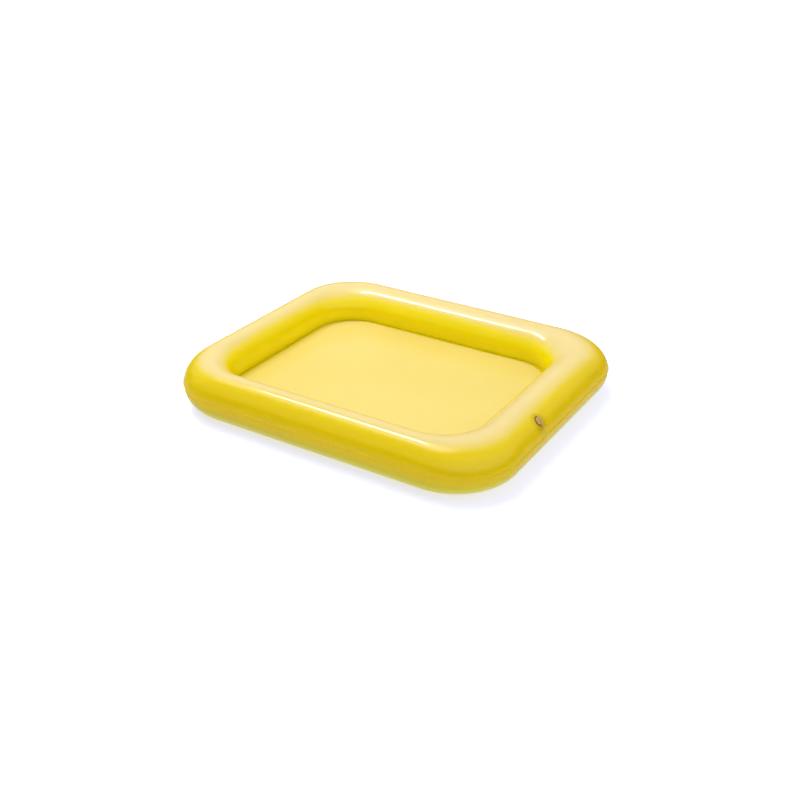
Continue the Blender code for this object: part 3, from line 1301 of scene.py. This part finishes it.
    def flap(self) -> bpy.types.Object:
        """The thin disc under the bore, with a rounded edge.

        Returns:
            The piece, in its node's place.
        """
        face = self.mouth - self.stem_length - self.gap
        low = face - self.flap_thickness
        edge = self.flap_thickness / 2.2
        reach = self.flap_radius
        corners = [(0.0, face, 0.0), (reach, face, edge), (reach, low, edge), (0.0, low, 0.0)]
        made = self.turned("valve_flap", rounded_path(corners))
        return self.finished(made, "flap", "valve_check_flap")

    def finished(self, made: bpy.types.Object, body: str, node: str) -> bpy.types.Object:
        """Puts a piece on its body in place of its node.

        Args:
            made: The piece.
            body: The body that it moves with.
            node: The frame's node that it stands for.

        Returns:
            The same piece.
        """
        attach(made, body)
        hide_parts(node)
        return made

    def pieces(self) -> list[bpy.types.Object]:
        """Builds all the valve's pieces."""
        return [make() for make in (self.flange, self.web, self.barrel, self.stopper, self.strap, self.flap)]


# ------------------------------------------------------------------ mesh finishing


def drop_loose(made: bpy.types.Object) -> None:
    """Removes the points that no face uses, which a hole in the grid leaves behind.

    Args:
        made: The piece.
    """
    mesh = bmesh.new()
    mesh.from_mesh(made.data)
    loose = [point for point in mesh.verts if not point.link_faces]
    bmesh.ops.delete(mesh, geom=loose, context="VERTS")
    mesh.to_mesh(made.data)
    mesh.free()


def point_outwards(made: bpy.types.Object) -> None:
    """Turns every face of a closed mesh outwards.

    Args:
        made: The piece.
    """
    mesh = bmesh.new()
    mesh.from_mesh(made.data)
    bmesh.ops.recalc_face_normals(mesh, faces=mesh.faces)
    mesh.to_mesh(made.data)
    mesh.free()


def thicken(made: bpy.types.Object, thickness: float) -> None:
    """Gives a film its wall, behind its outer face.

    Args:
        made: The piece.
        thickness: The wall.
    """
    wall = made.modifiers.new("film", "SOLIDIFY")
    wall.thickness = thickness
    wall.offset = -1.0


# ------------------------------------------------------------------ the studio


@dataclass
class Studio:
    """A pale floor, a soft dome of light, a strip light over the tray, and the camera."""

    azimuth: float = 31.953
    elevation: float = 28.330
    distance: float = 1.7581
    target: Point = (0.0141, -0.0183, 0.0)
    lens: float = 47.89
    sensor: float = 36.0
    floor_reach: float = 14.0
    floor_colour: Colour = (0.63, 0.65, 0.76)
    floor_glow: Colour = (0.41, 0.42, 0.59)
    dome_low: float = 0.88
    dome_horizon: float = 0.12
    dome_top: float = 0.60
    dome_back: float = 0.50
    dome_side: float = 0.75
    side_azimuth: float = -20.0
    low_band: tuple[float, float] = (-0.04, -0.30)
    top_band: tuple[float, float] = (0.10, 0.35)
    side_band: tuple[float, float] = (0.05, 0.40)
    back_spread: tuple[float, float] = (0.3, 0.9)
    side_spread: tuple[float, float] = (0.0, 0.9)
    halo: float = 5.0
    halo_reach: float = 24.0
    halo_azimuth: float = 172.0
    halo_elevation: float = 69.0
    strip_azimuth: float = 168.9
    strip_elevation: float = 61.9
    strip_distance: float = 2.2
    strip_size: tuple[float, float] = (0.72, 0.18)
    strip_shift: float = 0.03
    strip_power: float = 20.0

    def floor(self) -> bpy.types.Object:
        """The floor: one level sheet that isn't part of the object.

        Returns:
            The sheet.
        """
        line = np.linspace(-self.floor_reach, self.floor_reach, 9)
        x, y = np.meshgrid(line, line, indexing="ij")
        points = np.stack([x, y, np.zeros_like(x)], axis=2)
        made = bpy.data.materials.new("pale_floor")
        made.use_nodes = True
        graph = Graph(made.node_tree)
        colours = {
            "Base Color": (*self.floor_colour, 1.0),
            "Specular IOR Level": 0.0,
            "Roughness": 1.0,
            "Emission Color": (*self.floor_glow, 1.0),
            "Emission Strength": 1.0,
        }
        shader = graph.node("ShaderNodeBsdfPrincipled", None, colours)
        graph.node("ShaderNodeOutputMaterial", None, {"Surface": shader.outputs["BSDF"]})
        plane = mesh_object("studio_floor", points, grid_quads(9, 9, False, False), made)
        plane.visible_diffuse = False
        plane.visible_glossy = False
        plane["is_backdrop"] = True
        return plane

    def dome(self) -> None:
        """Light from all round, white where the camera sees it.

        It is dark at the horizon and brighter below and overhead. Half way up, the back and one side are
        brighter, and a soft halo is added high up at the back.
        """
        world = bpy.data.worlds.new("soft_dome")
        bpy.context.scene.world = world
        world.use_nodes = True
        graph = Graph(world.node_tree)
        way = graph.node("ShaderNodeTexCoord").outputs["Generated"]
        height = graph.number("ShaderNodeSeparateXYZ", "Z", None, {"Vector": way})
        back = graph.towards(way, self.azimuth + 90, 0)
        side = graph.towards(way, self.side_azimuth, 0)
        near = graph.towards(way, self.halo_azimuth, self.halo_elevation)
        half_up = height.ramp(*self.side_band)
        light = self.dome_horizon + (self.dome_low - self.dome_horizon) * height.ramp(*self.low_band)
        light = light + (self.dome_top - self.dome_horizon) * height.ramp(*self.top_band)
        light = light + self.dome_back * half_up * back.ramp(*self.back_spread)
        light = light + self.dome_side * half_up * side.ramp(*self.side_spread)
        light = light + self.halo * near.ramp(math.cos(math.radians(self.halo_reach)), 1.0)
        seen = graph.number("ShaderNodeLightPath", "Is Camera Ray")
        light = light + (1.0 - light) * seen
        colour = (1.0, 1.0, 1.0, 1.0)
        shade = graph.node("ShaderNodeBackground", None, {"Color": colour, "Strength": light})
        graph.node("ShaderNodeOutputWorld", None, {"Surface": shade.outputs["Background"]})

    def strip(self) -> None:
        """The long strip light that draws the bright line along the far rim."""
        lamp = bpy.data.lights.new("strip", "AREA")
        lamp.shape = "RECTANGLE"
        lamp.size, lamp.size_y = self.strip_size
        lamp.energy = self.strip_power
        made = bpy.data.objects.new("strip", lamp)
        way = heading(self.strip_azimuth, self.strip_elevation)
        facing = way.to_track_quat("Z", "X")
        made.location = way * self.strip_distance + facing @ Vector((self.strip_shift, 0, 0))
        made.rotation_euler = facing.to_euler()
        bpy.context.scene.collection.objects.link(made)

    def camera(self) -> None:
        """The camera, turned to the target from its azimuth and elevation."""
        back = heading(self.azimuth - 90, self.elevation)
        lens = bpy.data.cameras.new("camera")
        lens.lens = self.lens
        lens.sensor_width = self.sensor
        lens.clip_end = 100.0
        made = bpy.data.objects.new("camera", lens)
        made.location = Vector(self.target) + back * self.distance
        made.rotation_euler = back.to_track_quat("Z", "Y").to_euler()
        bpy.context.scene.collection.objects.link(made)
        bpy.context.scene.camera = made

    def build(self) -> None:
        """Sets the studio up, with plain colour handling."""
        self.camera()
        self.floor()
        self.dome()
        self.strip()
        bpy.context.scene.view_settings.view_transform = "Standard"


def box_corners(box: tuple[Vector, Vector]) -> list[list[float]]:
    """A box's two corners as plain lists of numbers."""
    return [[float(number) for number in corner] for corner in box]


def main() -> None:
    """Builds the tray's pieces round the frame."""
    logging.basicConfig(level=logging.INFO, format="%(name)s: %(message)s")
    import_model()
    cad_box = box_corners(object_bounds())
    Studio().build()
    low, high = (np.array(corner) for corner in cad_box)
    length, width, height = (high - low).tolist()
    ring = Ring(length, width, height)
    seat = ValveSeat(ring)
    tube = FilmFinish(
        "tube_film",
        deep=(0.84, 0.73, 0.0),
        pale=(0.86, 0.75, 0.0),
        weld=(0.90, 0.80, 0.02),
        dye=(0.99, 0.91, 0.0),
        passing=0.64,
        coat_roughness=0.13,
        coat_bend=1.7,
        # Painted sheen on the crown and painted light on the inner side.
        crown_painted_sheen=(0.88, 0.83, 0.66),
        inner=(1.0, 0.95, 0.0),
        shut_below=0.95,
    )
    # The sheet's whiter tone is partly its own colour and partly painted sheen of overhead light on its
    # upward face.
    sheet = FilmFinish(
        "floor_film",
        deep=(0.76, 0.62, 0.17),
        pale=(0.78, 0.64, 0.20),
        weld=(0.90, 0.76, 0.02),
        dye=(0.95, 0.86, 0.06),
        passing=0.35,
        coat_roughness=0.20,
        coat_bend=1.4,
    )
    clear = ClearFinish(
        "clear_pvc", tint=(0.93, 0.66, 0.18), haze=(0.83, 0.54, 0.13), roughness=0.10, transmission=0.60
    )
    inflated = InflatedRing(ring, seat, tube)
    made = [
        inflated.film("tube_top_skin", Film.TOP, "tube_top_panel"),
        inflated.film("tube_bottom_skin", Film.BOTTOM, "tube_bottom_panel"),
        FloorSheet(ring, sheet).piece(),
        *Valve(seat, clear).pieces(),
    ]
    for piece in made:
        LOG.info("%s: %d faces", piece.name, len(piece.data.polygons))


if __name__ == "__main__":
    main()
